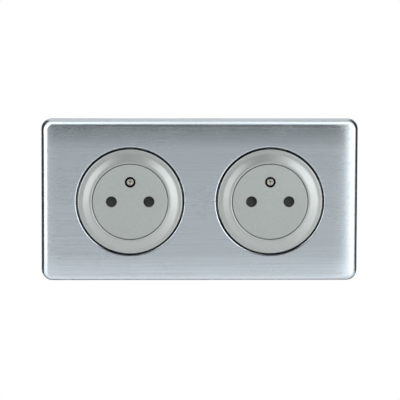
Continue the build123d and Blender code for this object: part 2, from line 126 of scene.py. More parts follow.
def pieceName(nodeName):  # left_trim_ring becomes leftTrimRing
    words = nodeName.split("_")
    return words[0] + "".join(word.capitalize() for word in words[1:])


def pieceFrom(bm, name):
    mesh = bpy.data.meshes.new(name)
    bm.to_mesh(mesh)
    bm.free()
    return linkPiece(name, mesh)


def toMetres(bm):  # for what is drawn in millimetres
    bmesh.ops.scale(bm, vec=(mm, mm, mm), verts=bm.verts)


def smoothShade(mesh, angle=32):
    mesh.polygons.foreach_set("use_smooth", [True] * len(mesh.polygons))
    mesh.set_sharp_from_angle(angle=math.radians(angle))


def plainMesh(piece):  # the evaluated shape as a mesh of its own
    return bpy.data.meshes.new_from_object(piece.evaluated_get(bpy.context.evaluated_depsgraph_get()))


def bakeShape(piece):  # keeps the evaluated shape and drops the modifiers
    mesh = plainMesh(piece)
    piece.modifiers.clear()
    piece.data = mesh
    return mesh


def closeMesh(mesh):  # merges seams and poles, then points every face outwards
    bm = bmesh.new()
    bm.from_mesh(mesh)
    bmesh.ops.remove_doubles(bm, verts=bm.verts, dist=gaps["new"])
    bmesh.ops.recalc_face_normals(bm, faces=bm.faces)
    bm.to_mesh(mesh)
    bm.free()


def mergeFlats(mesh, gap, bend=0.5):  # merges close points, then faces that bend less, in degrees
    bm = bmesh.new()
    bm.from_mesh(mesh)
    bmesh.ops.remove_doubles(bm, verts=bm.verts, dist=gap)
    bmesh.ops.dissolve_limit(bm, angle_limit=math.radians(bend), verts=bm.verts, edges=bm.edges)
    bm.to_mesh(mesh)
    bm.free()


roundAngle = 40  # degrees: edges of the CAD parts that bend more are rounded


def addEdgeRound(piece, width, segments=2, angle=roundAngle):
    bevel = piece.modifiers.new("edgeRound", "BEVEL")
    bevel.width = width
    bevel.segments = segments
    bevel.limit_method = "ANGLE"
    bevel.angle_limit = math.radians(angle)
    bevel.use_clamp_overlap = False
    bevel.harden_normals = True


def settle(piece, body, nodeName):  # finish and body of a new piece (its rig_body is recorded), and the CAD part it replaces is hidden
    piece.data.materials.clear()
    piece.data.materials.append(materials[slotOf[nodeName]])
    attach(piece, body)
    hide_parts(nodeName)


# Effects that several finishes share

def makeBrushedEffect():  # long streaks along X, broad and fine
    tree, given, made = newGroup(
        "brushedStreaks", "ShaderNodeTree",
        {"Vector": "Vector", "Length": 30.0, "Pitch": 1500.0, "Fine Share": 0.5},
        {"Tone": "Float", "Height": "Float"})
    streaks = []
    for lengthTimes, pitchTimes in ((1.0, 1.0), (2.2, 3.1)):  # the broad streaks, then the fine ones
        length = productNode(tree, given["Length"], lengthTimes)
        pitch = productNode(tree, given["Pitch"], pitchTimes)
        scale = addNode(tree, "ShaderNodeCombineXYZ", {0: length, 1: pitch, 2: pitch})
        stretched = addNode(
            tree, "ShaderNodeVectorMath", {0: given["Vector"], 1: scale.outputs[0]}, operation="MULTIPLY")
        streaks.append(noiseNode(tree, stretched.outputs[0], 1.0, 3.0, 0.55))
    both = mixNumbers(tree, given["Fine Share"], *streaks)
    tone = addNode(tree, "ShaderNodeMapRange", {"Value": both, "From Min": 0.3, "From Max": 0.7})
    tree.links.new(tone.outputs[0], made["Tone"])
    tree.links.new(both, made["Height"])
    return tree


def makeGrainEffect():  # fine pitted grain of moulded or plated parts, with slow clouds
    tree, given, made = newGroup(
        "fineGrain", "ShaderNodeTree", {"Vector": "Vector", "Grain": 4000.0, "Clouds": 90.0},
        {"Tone": "Float", "Height": "Float"})
    grain = noiseNode(tree, given["Vector"], given["Grain"], 2.0, 0.6)
    cells = addNode(tree, "ShaderNodeTexVoronoi", {"Vector": given["Vector"], "Scale": given["Grain"]})
    clouds = noiseNode(tree, given["Vector"], given["Clouds"], 4.0, 0.6)
    tree.links.new(mixNumbers(tree, 0.45, clouds, grain), made["Tone"])
    tree.links.new(mixNumbers(tree, 0.5, grain, cells.outputs["Distance"]), made["Height"])
    return tree


def makeFlakeEffect():  # metal flakes in a lacquer: every cell has its own brightness
    tree, given, made = newGroup(
        "metalFlakes", "ShaderNodeTree", {"Vector": "Vector", "Flakes": 5000.0, "Clouds": 60.0},
        {"Tone": "Float", "Height": "Float"})
    flakes = addNode(tree, "ShaderNodeTexVoronoi", {"Vector": given["Vector"], "Scale": given["Flakes"]})
    shade = addNode(tree, "ShaderNodeSeparateColor", {0: flakes.outputs["Color"]}).outputs[0]
    clouds = noiseNode(tree, given["Vector"], given["Clouds"], 3.0, 0.5)
    tree.links.new(mixNumbers(tree, 0.6, clouds, shade), made["Tone"])
    tree.links.new(shade, made["Height"])
    return tree


def placeRoundAxis(tree, given):  # distance from an axis along Y, the same for both sockets, and depth
    parts = addNode(tree, "ShaderNodeSeparateXYZ", {0: given["Vector"]}).outputs
    across = mathNode(tree, "SUBTRACT", mathNode(tree, "ABSOLUTE", parts[0]), given["Side"])
    upward = mathNode(tree, "SUBTRACT", parts[2], given["Height Above"])
    flat = addNode(tree, "ShaderNodeCombineXYZ", {0: across, 1: upward})
    distance = addNode(tree, "ShaderNodeVectorMath", {0: flat.outputs[0]}, operation="LENGTH")
    return distance.outputs["Value"], parts[1]


def makeTurnedEffect():  # fine rings left by a lathe
    tree, given, made = newGroup(
        "turnedRings", "ShaderNodeTree",
        {"Vector": "Vector", "Side": sides["right"], "Height Above": 0.0, "Pitch": 9000.0},
        {"Tone": "Float", "Height": "Float"})
    distance, depth = placeRoundAxis(tree, given)
    along = productNode(tree, mathNode(tree, "ADD", distance, depth), given["Pitch"])
    lines = addNode(
        tree, "ShaderNodeTexNoise", {"W": along, "Scale": 1.0, "Detail": 3.0}, noise_dimensions="1D")
    for label in ("Tone", "Height"):
        tree.links.new(lines.outputs["Fac"], made[label])
    return tree


def makeHandlingEffect():  # faint rubbed patches and dust that change the gloss
    tree, given, made = newGroup(
        "handling", "ShaderNodeTree", {"Vector": "Vector", "Size": 45.0, "Amount": 0.1}, {"Mask": "Float"})
    patches = noiseNode(tree, given["Vector"], given["Size"], 5.0, 0.65)
    picked = addNode(tree, "ShaderNodeMapRange", {"Value": patches, "From Min": 0.45, "From Max": 0.75})
    tree.links.new(productNode(tree, picked.outputs[0], given["Amount"]), made["Mask"])
    return tree


def makePaintedShadeEffect():  # 1 where a round wall lies deep in a narrow gap that little light reaches; the finishes paint shade there
    tree, given, made = newGroup(
        "paintedShade", "ShaderNodeTree",
        {"Vector": "Vector", "Side": sides["right"], "Height Above": 0.0, "Radius": 27 * mm,
         "Reach": 0.3 * mm, "Depth": -8 * mm, "Fade": 0.4 * mm},
        {"Mask": "Float"})
    distance, depth = placeRoundAxis(tree, given)
    off = mathNode(tree, "ABSOLUTE", mathNode(tree, "SUBTRACT", distance, given["Radius"]))
    near = mathNode(tree, "LESS_THAN", off, given["Reach"])
    end = mathNode(tree, "ADD", given["Depth"], given["Fade"])
    deep = addNode(tree, "ShaderNodeMapRange", {"Value": depth, "From Min": given["Depth"], "From Max": end})
    tree.links.new(productNode(tree, near, deep.outputs[0]), made["Mask"])
    return tree


effects = {
    "brushed": makeBrushedEffect(),
    "grain": makeGrainEffect(),
    "flakes": makeFlakeEffect(),
    "turned": makeTurnedEffect(),
    "handling": makeHandlingEffect(),
    "paintedShade": makePaintedShadeEffect(),
}

# Finishes: one dictionary for each

finishes = {
    "plate_metal": {
        "low": (0.420, 0.474, 0.510), "high": (0.500, 0.549, 0.581), "rough": (0.22, 0.29), "metallic": 1.0,
        "effect": "brushed", "values": {"Length": 9.0, "Pitch": 1250.0, "Fine Share": 0.45},
        "relief": 0.000010, "handling": 0.03, "anisotropic": 0.95, "brushTurn": 0.25,
        # painted shade on the collar wall, deep in the gap round each ring
        "paintedShadePlaces": ({"Radius": 27.2 * mm, "Depth": -8.5 * mm, "Fade": 0.3 * mm},),
    },
    "ring_plastic": {
        "low": (0.296, 0.317, 0.313), "high": (0.362, 0.382, 0.378), "rough": (0.36, 0.46), "metallic": 0.75,
        "effect": "flakes", "values": {"Flakes": 5200.0, "Clouds": 40.0},
        "relief": 0.0000012, "handling": 0.04,
        # painted shade on the outer wall in the gap to the plate, and on the bore wall beside the disc
        "paintedShadePlaces": (
            {"Radius": 26.5 * mm, "Depth": -9.45 * mm, "Fade": 0.3 * mm},
            {"Radius": 19.35 * mm, "Reach": 0.15 * mm, "Depth": -10.6 * mm, "Fade": 0.2 * mm},
        ),
    },
    "disc_plastic": {
        "low": (0.252, 0.279, 0.269), "high": (0.348, 0.376, 0.364), "rough": (0.46, 0.56), "metallic": 0.1,
        "effect": "flakes", "values": {"Flakes": 4600.0, "Clouds": 35.0},
        "relief": 0.0000020, "handling": 0.05,
        # painted shade on the disc's edge beside the ring and on the wall of the earth hole
        "paintedShadePlaces": (
            {"Radius": 19.1 * mm, "Reach": 0.15 * mm, "Depth": -10.5 * mm, "Fade": 0.2 * mm},
            {"Height Above": 10.0 * mm, "Radius": 2.7 * mm, "Depth": -10.5 * mm},
        ),
    },
    "shutter_plastic": {
        "low": (0.016, 0.018, 0.021), "high": (0.029, 0.031, 0.034), "rough": (0.45, 0.60), "metallic": 0.0,
        "effect": "grain", "values": {"Grain": 5200.0, "Clouds": 160.0}, "relief": 0.000004, "handling": 0.06,
    },
    "liner_plastic": {
        "low": (0.115, 0.120, 0.125), "high": (0.150, 0.155, 0.162), "rough": (0.50, 0.64), "metallic": 0.0,
        "effect": "grain", "values": {"Grain": 3400.0, "Clouds": 70.0}, "relief": 0.000006, "handling": 0.08,
    },
    "housing_plastic": {
        "low": (0.050, 0.053, 0.057), "high": (0.078, 0.082, 0.086), "rough": (0.44, 0.58), "metallic": 0.0,
        "effect": "grain", "values": {"Grain": 3600.0, "Clouds": 80.0}, "relief": 0.000006, "handling": 0.08,
    },
    "base_plastic": {
        "low": (0.500, 0.510, 0.505), "high": (0.570, 0.580, 0.572), "rough": (0.42, 0.56), "metallic": 0.0,
        "effect": "grain", "values": {"Grain": 3600.0, "Clouds": 60.0}, "relief": 0.000006, "handling": 0.08,
        "ink": (0.030, 0.031, 0.033),
    },
    "frame_steel": {
        "low": (0.440, 0.450, 0.455), "high": (0.620, 0.625, 0.620), "rough": (0.28, 0.46), "metallic": 1.0,
        "effect": "grain", "values": {"Grain": 900.0, "Clouds": 120.0}, "relief": 0.000004, "handling": 0.12,
    },
    "spring_steel": {
        "low": (0.420, 0.430, 0.440), "high": (0.600, 0.610, 0.620), "rough": (0.22, 0.36), "metallic": 1.0,
        "effect": "grain", "values": {"Grain": 5200.0, "Clouds": 420.0}, "relief": 0.000002, "handling": 0.1,
    },
    "screw_steel": {
        "low": (0.500, 0.500, 0.470), "high": (0.680, 0.680, 0.640), "rough": (0.24, 0.40), "metallic": 1.0,
        "effect": "grain", "values": {"Grain": 2600.0, "Clouds": 300.0}, "relief": 0.000003, "handling": 0.14,
    },
    "contact_brass": {
        "low": (0.640, 0.450, 0.180), "high": (0.800, 0.600, 0.280), "rough": (0.24, 0.38), "metallic": 1.0,
        "effect": "brushed", "values": {"Length": 260.0, "Pitch": 3200.0, "Fine Share": 0.5},
        "relief": 0.000002, "handling": 0.16,
    },
    "pin_metal": {
        "low": (0.290, 0.284, 0.255), "high": (0.400, 0.392, 0.357), "rough": (0.24, 0.36), "metallic": 1.0,
        "effect": "turned", "values": {"Height Above": 10.0 * mm, "Pitch": 9000.0},
        "relief": 0.000004, "handling": 0.08,
        # painted shade on the nose's chamfer and in its centre mark
        "paintedShadePlaces": (
            {"Height Above": 10.0 * mm, "Radius": 2.3 * mm, "Reach": 0.6 * mm, "Depth": -10.0 * mm},
            {"Height Above": 10.0 * mm, "Radius": 0.0, "Reach": 0.9 * mm, "Depth": -10.0 * mm,
             "Fade": 0.5 * mm},
        ),
    },
}
# near-black colour of the painted shade in gaps, holes and hollows
paintedShadeColour = (0.010, 0.010, 0.011)


def placeEffect(tree, name, place, values):
    return addNode(tree, "ShaderNodeGroup", {"Vector": place, **values}, node_tree=effects[name])


def makeFinish(slotName, look):
    material = bpy.data.materials.new(slotName)
    material.use_nodes = True
    tree = material.node_tree
    shader = tree.nodes["Principled BSDF"]
    place = tree.nodes.new("ShaderNodeTexCoord").outputs["Object"]
    effect = placeEffect(tree, look["effect"], place, look["values"])
    rubbed = placeEffect(tree, "handling", place, {"Amount": look["handling"]})
    colour = mixColours(tree, effect.outputs["Tone"], (*look["low"], 1), (*look["high"], 1))
    # painted shade: each mask mixes the colour towards the near-black shade colour
    for values in look.get("paintedShadePlaces", ()):
        paintedShade = placeEffect(tree, "paintedShade", place, values)
        colour = mixColours(tree, paintedShade.outputs["Mask"], colour, (*paintedShadeColour, 1))
    if "ink" in look:  # the floors of sunk marks carry their own attribute
        inked = addNode(tree, "ShaderNodeAttribute", attribute_name="ink").outputs["Fac"]
        colour = mixColours(tree, inked, colour, (*look["ink"], 1))
    gloss = addNode(
        tree, "ShaderNodeMapRange",
        {"Value": effect.outputs["Tone"], "To Min": look["rough"][1], "To Max": look["rough"][0]})
    roughness = mathNode(tree, "ADD", gloss.outputs[0], rubbed.outputs["Mask"])
    bump = addNode(
        tree, "ShaderNodeBump",
        {"Height": effect.outputs["Height"], "Distance": look["relief"], "Strength": 1.0})
    tree.links.new(colour, shader.inputs["Base Color"])
    tree.links.new(roughness, shader.inputs["Roughness"])
    tree.links.new(bump.outputs[0], shader.inputs["Normal"])
    shader.inputs["Metallic"].default_value = look["metallic"]
    shader.inputs["Anisotropic"].default_value = look.get("anisotropic", 0.0)
    shader.inputs["Anisotropic Rotation"].default_value = look.get("brushTurn", 0.0)
    return material


materials = {name: makeFinish(name, look) for name, look in finishes.items()}
print("finishes made:", len(materials))

# Geometry node trees

def moveNode(tree, geometry, x=0.0, z=0.0):
    shift = addNode(tree, "ShaderNodeCombineXYZ", {0: x, 2: z})
    return addNode(
        tree, "GeometryNodeTransform", {"Geometry": geometry, "Translation": shift.outputs[0]}).outputs[0]


def helixNode(tree, along, count, turns, reach, height, corners, radius):  # a bar wound round Z
    line = addNode(tree, "GeometryNodeCurvePrimitiveLine")
    points = addNode(
        tree, "GeometryNodeResampleCurve", {"Curve": line.outputs[0], "Count": count}, mode="COUNT")
    angle = productNode(tree, along, turns, math.tau)
    x = productNode(tree, mathNode(tree, "COSINE", angle), reach)
    y = productNode(tree, mathNode(tree, "SINE", angle), reach)
    place = addNode(tree, "ShaderNodeCombineXYZ", {0: x, 1: y, 2: height})
    helix = addNode(
        tree, "GeometryNodeSetPosition", {"Geometry": points.outputs[0], "Position": place.outputs[0]})
    section = addNode(
        tree, "GeometryNodeCurvePrimitiveCircle", {"Resolution": corners, "Radius": radius}, mode="RADIUS")
    return addNode(
        tree, "GeometryNodeCurveToMesh",
        {"Curve": helix.outputs[0], "Profile Curve": section.outputs[0], "Fill Caps": True}).outputs[0]


def endTree(tree, made, geometry, material):  # no instances are left, and every face has its material
    real = addNode(tree, "GeometryNodeRealizeInstances", {0: geometry})
    painted = addNode(tree, "GeometryNodeSetMaterial", {"Geometry": real.outputs[0], "Material": material})
    tree.links.new(painted.outputs[0], made["Geometry"])
    return tree


def makeLatheTree():  # turns the object's own outline, drawn as edges in X (radius) and Y (depth), round Y
    tree, given, made = newGroup(
        "turnedBody", "GeometryNodeTree",
        {"Outline": "Geometry", "Steps": 192, "Corner Steps": 4, "Path Radius": 1 * mm, "Centre": "Vector",
         "Material": "Material"},
        {"Geometry": "Geometry"})
    outline = addNode(tree, "GeometryNodeMeshToCurve", {"Mesh": given["Outline"]})
    corner = addNode(tree, "GeometryNodeInputNamedAttribute", {"Name": "cornerRadius"}, data_type="FLOAT")
    rounded = addNode(
        tree, "GeometryNodeFilletCurve",
        {"Curve": outline.outputs[0], "Radius": corner.outputs[0], "Count": given["Corner Steps"],
         "Limit Radius": True}, mode="POLY")
    shifted = moveNode(tree, rounded.outputs[0], x=productNode(tree, given["Path Radius"], -1.0))
    path = addNode(
        tree, "GeometryNodeCurvePrimitiveCircle",
        {"Resolution": given["Steps"], "Radius": given["Path Radius"]}, mode="RADIUS")
    upright = addNode(tree, "GeometryNodeSetCurveNormal", {"Curve": path.outputs[0]}, mode="Z_UP")
    swept = addNode(tree, "GeometryNodeCurveToMesh", {"Curve": upright.outputs[0], "Profile Curve": shifted})
    turned = addNode(
        tree, "GeometryNodeTransform",
        {"Geometry": swept.outputs[0], "Translation": given["Centre"], "Rotation": (math.pi / 2, 0, 0)})
    return endTree(tree, made, turned.outputs[0], given["Material"])


coilShape = {"wireCorners": 12, "shadeAngle": 60}


def makeSpringTree():  # a coil on every point of the object, with closed turns at both ends
    tree, given, made = newGroup(
        "coilSprings", "GeometryNodeTree",
        {"Places": "Geometry", "Length": 20 * mm, "Coil Radius": 1.6 * mm, "Wire Radius": 0.3 * mm,
         "Turns": 8.0, "Closed Turns": 1.0, "Steps": 260, "Turn": "Vector", "Material": "Material"},
        {"Geometry": "Geometry"})
    along = addNode(tree, "GeometryNodeSplineParameter").outputs["Factor"]
    wire = productNode(tree, given["Wire Radius"], 2.0)
    closedShare = mathNode(tree, "DIVIDE", given["Closed Turns"], given["Turns"])
    lastStart = mathNode(tree, "SUBTRACT", 1.0, closedShare)
    closedRise = productNode(tree, wire, given["Closed Turns"])
    room = mathNode(tree, "SUBTRACT", given["Length"], wire)
    openRise = mathNode(tree, "SUBTRACT", room, productNode(tree, closedRise, 2.0))
    height = given["Wire Radius"]
    for start, end, rise in ((0.0, closedShare, closedRise), (closedShare, lastStart, openRise),
                             (lastStart, 1.0, closedRise)):
        part = addNode(
            tree, "ShaderNodeMapRange", {"Value": along, "From Min": start, "From Max": end, "To Max": rise})
        height = mathNode(tree, "ADD", height, part.outputs[0])
    wound = helixNode(
        tree, along, given["Steps"], given["Turns"], given["Coil Radius"], height, coilShape["wireCorners"],
        given["Wire Radius"])
    standing = addNode(
        tree, "GeometryNodeInstanceOnPoints",
        {"Points": given["Places"], "Instance": wound, "Rotation": given["Turn"]})
    return endTree(tree, made, standing.outputs[0], given["Material"])


screwShape = {  # the core is a share of the shank's radius, the ridge a share of the pitch
    "headSteps": 48, "coreSteps": 24, "core": 0.86, "ridge": 0.34, "stepsPerTurn": 20.0, "threadCorners": 4,
    "shadeAngle": 35,
}


def makeScrewTree():  # a slotted, threaded screw on every point; "facing" points its head outwards
    tree, given, made = newGroup(
        "slottedScrews", "GeometryNodeTree",
        {"Places": "Geometry", "Head Radius": 2.3 * mm, "Head Height": 1.4 * mm, "Shank Radius": 1.25 * mm,
         "Shank Length": 5 * mm, "Thread Pitch": 0.5 * mm, "Slot Width": 0.6 * mm, "Slot Depth": 0.6 * mm,
         "Material": "Material"},
        {"Geometry": "Geometry"})

    def rod(steps, radius, length, middle):
        cylinder = addNode(
            tree, "GeometryNodeMeshCylinder", {"Vertices": steps, "Radius": radius, "Depth": length})
        return moveNode(tree, cylinder.outputs[0], z=middle)

    half = productNode(tree, given["Head Height"], 0.5)
    head = rod(screwShape["headSteps"], given["Head Radius"], given["Head Height"], half)
    across = productNode(tree, given["Head Radius"], 3.0)
    down = productNode(tree, given["Slot Depth"], 2.0)
    slotSize = addNode(tree, "ShaderNodeCombineXYZ", {0: across, 1: given["Slot Width"], 2: down})
    block = addNode(tree, "GeometryNodeMeshCube", {"Size": slotSize.outputs[0]})
    slot = moveNode(tree, block.outputs[0], z=given["Head Height"])
    slotted = addNode(
        tree, "GeometryNodeMeshBoolean", {"Mesh 1": head, "Mesh 2": slot}, operation="DIFFERENCE")
    coreRadius = productNode(tree, given["Shank Radius"], screwShape["core"])
    coreMiddle = productNode(tree, given["Shank Length"], -0.5)
    core = rod(screwShape["coreSteps"], coreRadius, given["Shank Length"], coreMiddle)
    turns = mathNode(tree, "DIVIDE", given["Shank Length"], given["Thread Pitch"])
    along = addNode(tree, "GeometryNodeSplineParameter").outputs["Factor"]
    ridge = productNode(tree, given["Thread Pitch"], screwShape["ridge"])
    reach = mathNode(tree, "SUBTRACT", given["Shank Radius"], ridge)
    length = mathNode(tree, "SUBTRACT", given["Shank Length"], productNode(tree, ridge, 2.0))
    height = mathNode(tree, "SUBTRACT", productNode(tree, along, length, -1.0), ridge)
    thread = helixNode(
        tree, along, productNode(tree, turns, screwShape["stepsPerTurn"]), turns, reach, height,
        screwShape["threadCorners"], ridge)
    whole = addNode(tree, "GeometryNodeJoinGeometry")
    for part in (slotted.outputs[0], core, thread):
        tree.links.new(part, whole.inputs[0])
    facing = addNode(tree, "GeometryNodeInputNamedAttribute", {"Name": "facing"}, data_type="FLOAT_VECTOR")
    turn = addNode(tree, "FunctionNodeAlignRotationToVector", {"Vector": facing.outputs[0]}, axis="Z")
    standing = addNode(
        tree, "GeometryNodeInstanceOnPoints",
        {"Points": given["Places"], "Instance": whole.outputs[0], "Rotation": turn.outputs[0]})
    return endTree(tree, made, standing.outputs[0], given["Material"])


trees = {"lathe": makeLatheTree(), "spring": makeSpringTree(), "screw": makeScrewTree()}
print("geometry node trees made:", len(trees))


def runTree(piece, treeName, values):  # runs one tree on a piece and keeps the result as a plain mesh
    modifier = piece.modifiers.new(treeName, "NODES")
    modifier.node_group = trees[treeName]
    for item in modifier.node_group.interface.items_tree:
        if item.item_type == "SOCKET" and item.in_out == "INPUT" and item.name in values:
            modifier[item.identifier] = values[item.name]
    return bakeShape(piece)


def turnedPiece(nodeName, outline, centre, shape, closed=True):
    bm = bmesh.new()  # the outline: (radius, depth, corner radius) in millimetres
    layer = bm.verts.layers.float.new("cornerRadius")
    corners = []
    for radius, depth, corner in outline:
        vert = bm.verts.new((radius * mm, depth * mm, 0))
        vert[layer] = corner * mm
        corners.append(vert)
    for first, second in zip(corners, corners[1:] + corners[:1] if closed else corners[1:]):
        bm.edges.new((first, second))
    piece = pieceFrom(bm, pieceName(nodeName))
    closeMesh(runTree(piece, "lathe", {
        "Steps": shape["steps"], "Corner Steps": shape["cornerSteps"], "Centre": centre,
        "Material": materials[slotOf[nodeName]],
    }))
    smoothShade(piece.data)
    return piece


# Cover plate: one formed sheet, crowned towards its edges, with a collar round each opening

plate = {
    "halfWidth": 80.5, "halfHeight": 41.5, "depth": 8.8, "corner": 5.5, "draft": 1.2, "edgeRound": 3.0,
    "crownRadius": 100.0, "crownRun": 15.0, "opening": 27.2, "mouthRound": 0.9, "collarDepth": 3.0,
    "sheet": 0.9, "spacing": 1.1, "rings": 30, "crowding": 1.15, "sideRows": (0.0, 2.0, 4.0),
    "cornerSteps": 10, "roundSteps": 10, "mouthSteps": 6, "settleSteps": 12, "probe": 0.01, "weld": 0.001,
    "shadeAngle": 50,
}


def crownHeight(x, z):  # how far the face stands from the wall at one place
    dx = max(0.0, abs(x) - plate["halfWidth"] + plate["crownRun"])
    dz = max(0.0, abs(z) - plate["halfHeight"] + plate["crownRun"])
    radius = plate["crownRadius"]
    return plate["depth"] - radius + math.sqrt(radius * radius - dx * dx - dz * dz)


def halfOutline():  # rear rim of the right half, from top middle to bottom middle, with outward directions
    width, height, corner = plate["halfWidth"], plate["halfHeight"], plate["corner"]
    flatX, flatZ = width - corner, height - corner
    count = round(flatX / plate["spacing"])
    points = [(flatX * i / count, height, 0.0, 1.0) for i in range(count)]
    for i in range(plate["cornerSteps"] + 1):
        angle = math.pi / 2 * (1 - i / plate["cornerSteps"])
        nx, nz = math.cos(angle), math.sin(angle)
        points.append((flatX + corner * nx, flatZ + corner * nz, nx, nz))
    count = round(flatZ / plate["spacing"])
    points += [(width, flatZ * (1 - i / count), 1.0, 0.0) for i in range(1, count + 1)]
    return points + [(x, -z, nx, -nz) for x, z, nx, nz in reversed(points[:-1])]


def edgeSection(x, z, nx, nz):  # rim, side, round and start of the face, from one place of the outline
    lean = plate["draft"] / plate["depth"]
    radius, steps, probe = plate["edgeRound"], plate["roundSteps"], plate["probe"]

    def face(u):
        return crownHeight(x - nx * u, z - nz * u)

    def slope(u):
        return (face(u + probe) - face(u - probe)) / (2 * probe)

    u = radius + plate["draft"]
    for _ in range(plate["settleSteps"]):  # settles the middle of the round between the side and the face
        v = face(u) - radius * math.hypot(1.0, slope(u))
        u = radius * math.hypot(1.0, lean) + lean * v
    start = math.atan2(lean, -1.0)
    end = math.atan2(1.0, -slope(u))
    section = [(lean * height, height) for height in plate["sideRows"]]
    for i in range(steps + 1):
        angle = start + (end - start) * i / steps
        section.append((u + radius * math.cos(angle), v + radius * math.sin(angle)))
    return section


def openingColumn(bm, start):  # from the face's edge to the opening, over its mouth and down the collar
    middle = sides["right"] / mm
    mouth = plate["mouthRound"]
    lip = plate["opening"] + mouth
    outward = Vector((start.co.x - middle, 0.0, start.co.z))
    reach = outward.length
    outward.normalize()
    column = [start]

    def add(radius, depth):
        column.append(bm.verts.new((middle + outward.x * radius, depth, outward.z * radius)))

    for i in range(1, plate["rings"] + 1):  # closer together near the opening
        radius = lip + (reach - lip) * (1 - i / plate["rings"]) ** plate["crowding"]
        add(radius, -crownHeight(middle + outward.x * radius, outward.z * radius))
    sink = column[-1].co.y
    for i in range(1, plate["mouthSteps"] + 1):
        angle = math.pi / 2 * i / plate["mouthSteps"]
        add(lip - mouth * math.sin(angle), sink + mouth * (1 - math.cos(angle)))
    add(plate["opening"], -plate["depth"] + plate["collarDepth"])
    return column


def joinColumns(bm, columns):
    for first, second in zip(columns, columns[1:]):
        for corners in zip(first, first[1:], second[1:], second):
            bm.faces.new(corners)


def makePlate():
    bm = bmesh.new()
    border = [
        [bm.verts.new((x - nx * u, -v, z - nz * u)) for u, v in edgeSection(x, z, nx, nz)]
        for x, z, nx, nz in halfOutline()
    ]
    joinColumns(bm, border)
    faceEdge = [column[-1] for column in border]
    top, bottom = faceEdge[0].co.copy(), faceEdge[-1].co.copy()
    count = round((top.z - bottom.z) / plate["spacing"])
    seam = [
        bm.verts.new((0.0, -crownHeight(0.0, z), z))
        for z in (bottom.z + (top.z - bottom.z) * i / count for i in range(1, count))
    ]
    columns = [openingColumn(bm, vert) for vert in faceEdge + seam]
    joinColumns(bm, columns + columns[:1])
    bmesh.ops.mirror(
        bm, geom=bm.verts[:] + bm.edges[:] + bm.faces[:], axis="X", matrix=Matrix(), merge_dist=plate["weld"])
    bmesh.ops.remove_doubles(bm, verts=bm.verts, dist=plate["weld"])
    bmesh.ops.recalc_face_normals(bm, faces=bm.faces)
    toMetres(bm)
    front = min(bm.faces, key=lambda face: face.calc_center_median().y)
    if front.normal.y > 0:
        bmesh.ops.reverse_faces(bm, faces=bm.faces)
    piece = pieceFrom(bm, "plateSkinShell")
    smoothShade(piece.data, plate["shadeAngle"])
    sheet = piece.modifiers.new("sheet", "SOLIDIFY")
    sheet.thickness = plate["sheet"] * mm
    sheet.offset = -1
    settle(piece, "housing", "plate_skin")


makePlate()
print("cover plate made")

# Trim rings: the face falls from the inner lip to the flat rim in one slope with soft bends

ring = {
    "outer": 26.5, "bore": 19.35, "crest": -11.0, "rimFront": -9.75, "lipRound": 0.58, "slopeStart": 20.7,
    "slopeEnd": 24.2, "bend": 4.0, "rimRound": 0.5, "rimBack": -5.95, "wall": 1.4, "outerWall": 1.25,
    "skirtInner": 22.125, "skirtOuter": 23.375, "skirtEnd": -3.2, "innerBack": -6.2,
    "boreEdge": 0.1, "edge": 0.15, "fillet": 0.2, "steps": 256, "cornerSteps": 8,
}


def ringOutline():
    cavity = ring["rimFront"] + ring["wall"]
    outerInner = ring["outer"] - ring["outerWall"]
    innerWall = ring["bore"] + ring["wall"]
    edge, fillet = ring["edge"], ring["fillet"]
    return [
        (ring["bore"], ring["innerBack"], ring["boreEdge"]), (ring["bore"], ring["crest"], ring["lipRound"]),
        (ring["slopeStart"], ring["crest"], ring["bend"]), (ring["slopeEnd"], ring["rimFront"], ring["bend"]),
        (ring["outer"], ring["rimFront"], ring["rimRound"]), (ring["outer"], ring["rimBack"], edge),
        (outerInner, ring["rimBack"], edge), (outerInner, cavity, fillet),
        (ring["skirtOuter"], cavity, fillet), (ring["skirtOuter"], ring["skirtEnd"], fillet),
        (ring["skirtInner"], ring["skirtEnd"], fillet), (ring["skirtInner"], cavity, fillet),
        (innerWall, cavity, fillet), (innerWall, ring["innerBack"], edge),
    ]


for side, middle in sides.items():
    nodeName = side + "_trim_ring"
    settle(turnedPiece(nodeName, ringOutline(), (middle, 0, 0), ring), "housing", nodeName)
print("trim rings made")

# Sliding discs: flat face with three holes, skirt, stop lugs and the shutter's rails

disc = {
    "radius": 19.1, "front": -10.8, "back": -8.9, "skirtBack": -4.4, "skirtBore": 17.9, "faceRing": 8.0,
    "edgeRound": 0.4, "skirtRound": 0.15, "innerRound": 0.2, "steps": 192, "cornerSteps": 5,
    "pinHole": 2.8, "pinSide": 9.5, "earthHole": 2.72, "earthHeight": 10.0, "holeSteps": 72,
    "holeRound": 0.22, "holeRoundSteps": 3, "holeAngle": 60,
    "lugRoot": 0.6, "lugReach": 20.3, "lugWidth": 5.0, "lugFront": -5.8, "lugAngles": (90, 210, 330),
    "rail": (12.75, 13.45, -10.9, 4.3),  # inner and outer side, low and high end
    "seat": (1.7, -16.5, -15.8),  # half the width, low and high end
    "railBack": -6.2, "pegs": ((11.2, 5.6), (6.5, -12.2)), "pegRadius": 0.8, "pegBoss": 1.4, "pegBack": -5.0,
}


def addBlock(bm, low, high, turn=None):
    size = [h - l for l, h in zip(low, high)]
    middle = [(h + l) / 2 for l, h in zip(low, high)]
    place = Matrix.Translation(middle) @ Matrix.Diagonal((*size, 1.0))
    bmesh.ops.create_cube(bm, size=1.0, matrix=turn @ place if turn else place)


def addRod(bm, radius, front, back, x, z, steps=32):
    place = Matrix.Translation((x, (front + back) / 2, z)) @ Matrix.Rotation(math.pi / 2, 4, "X")
    bmesh.ops.create_cone(
        bm, cap_ends=True, segments=steps, radius1=radius, radius2=radius, depth=back - front, matrix=place)


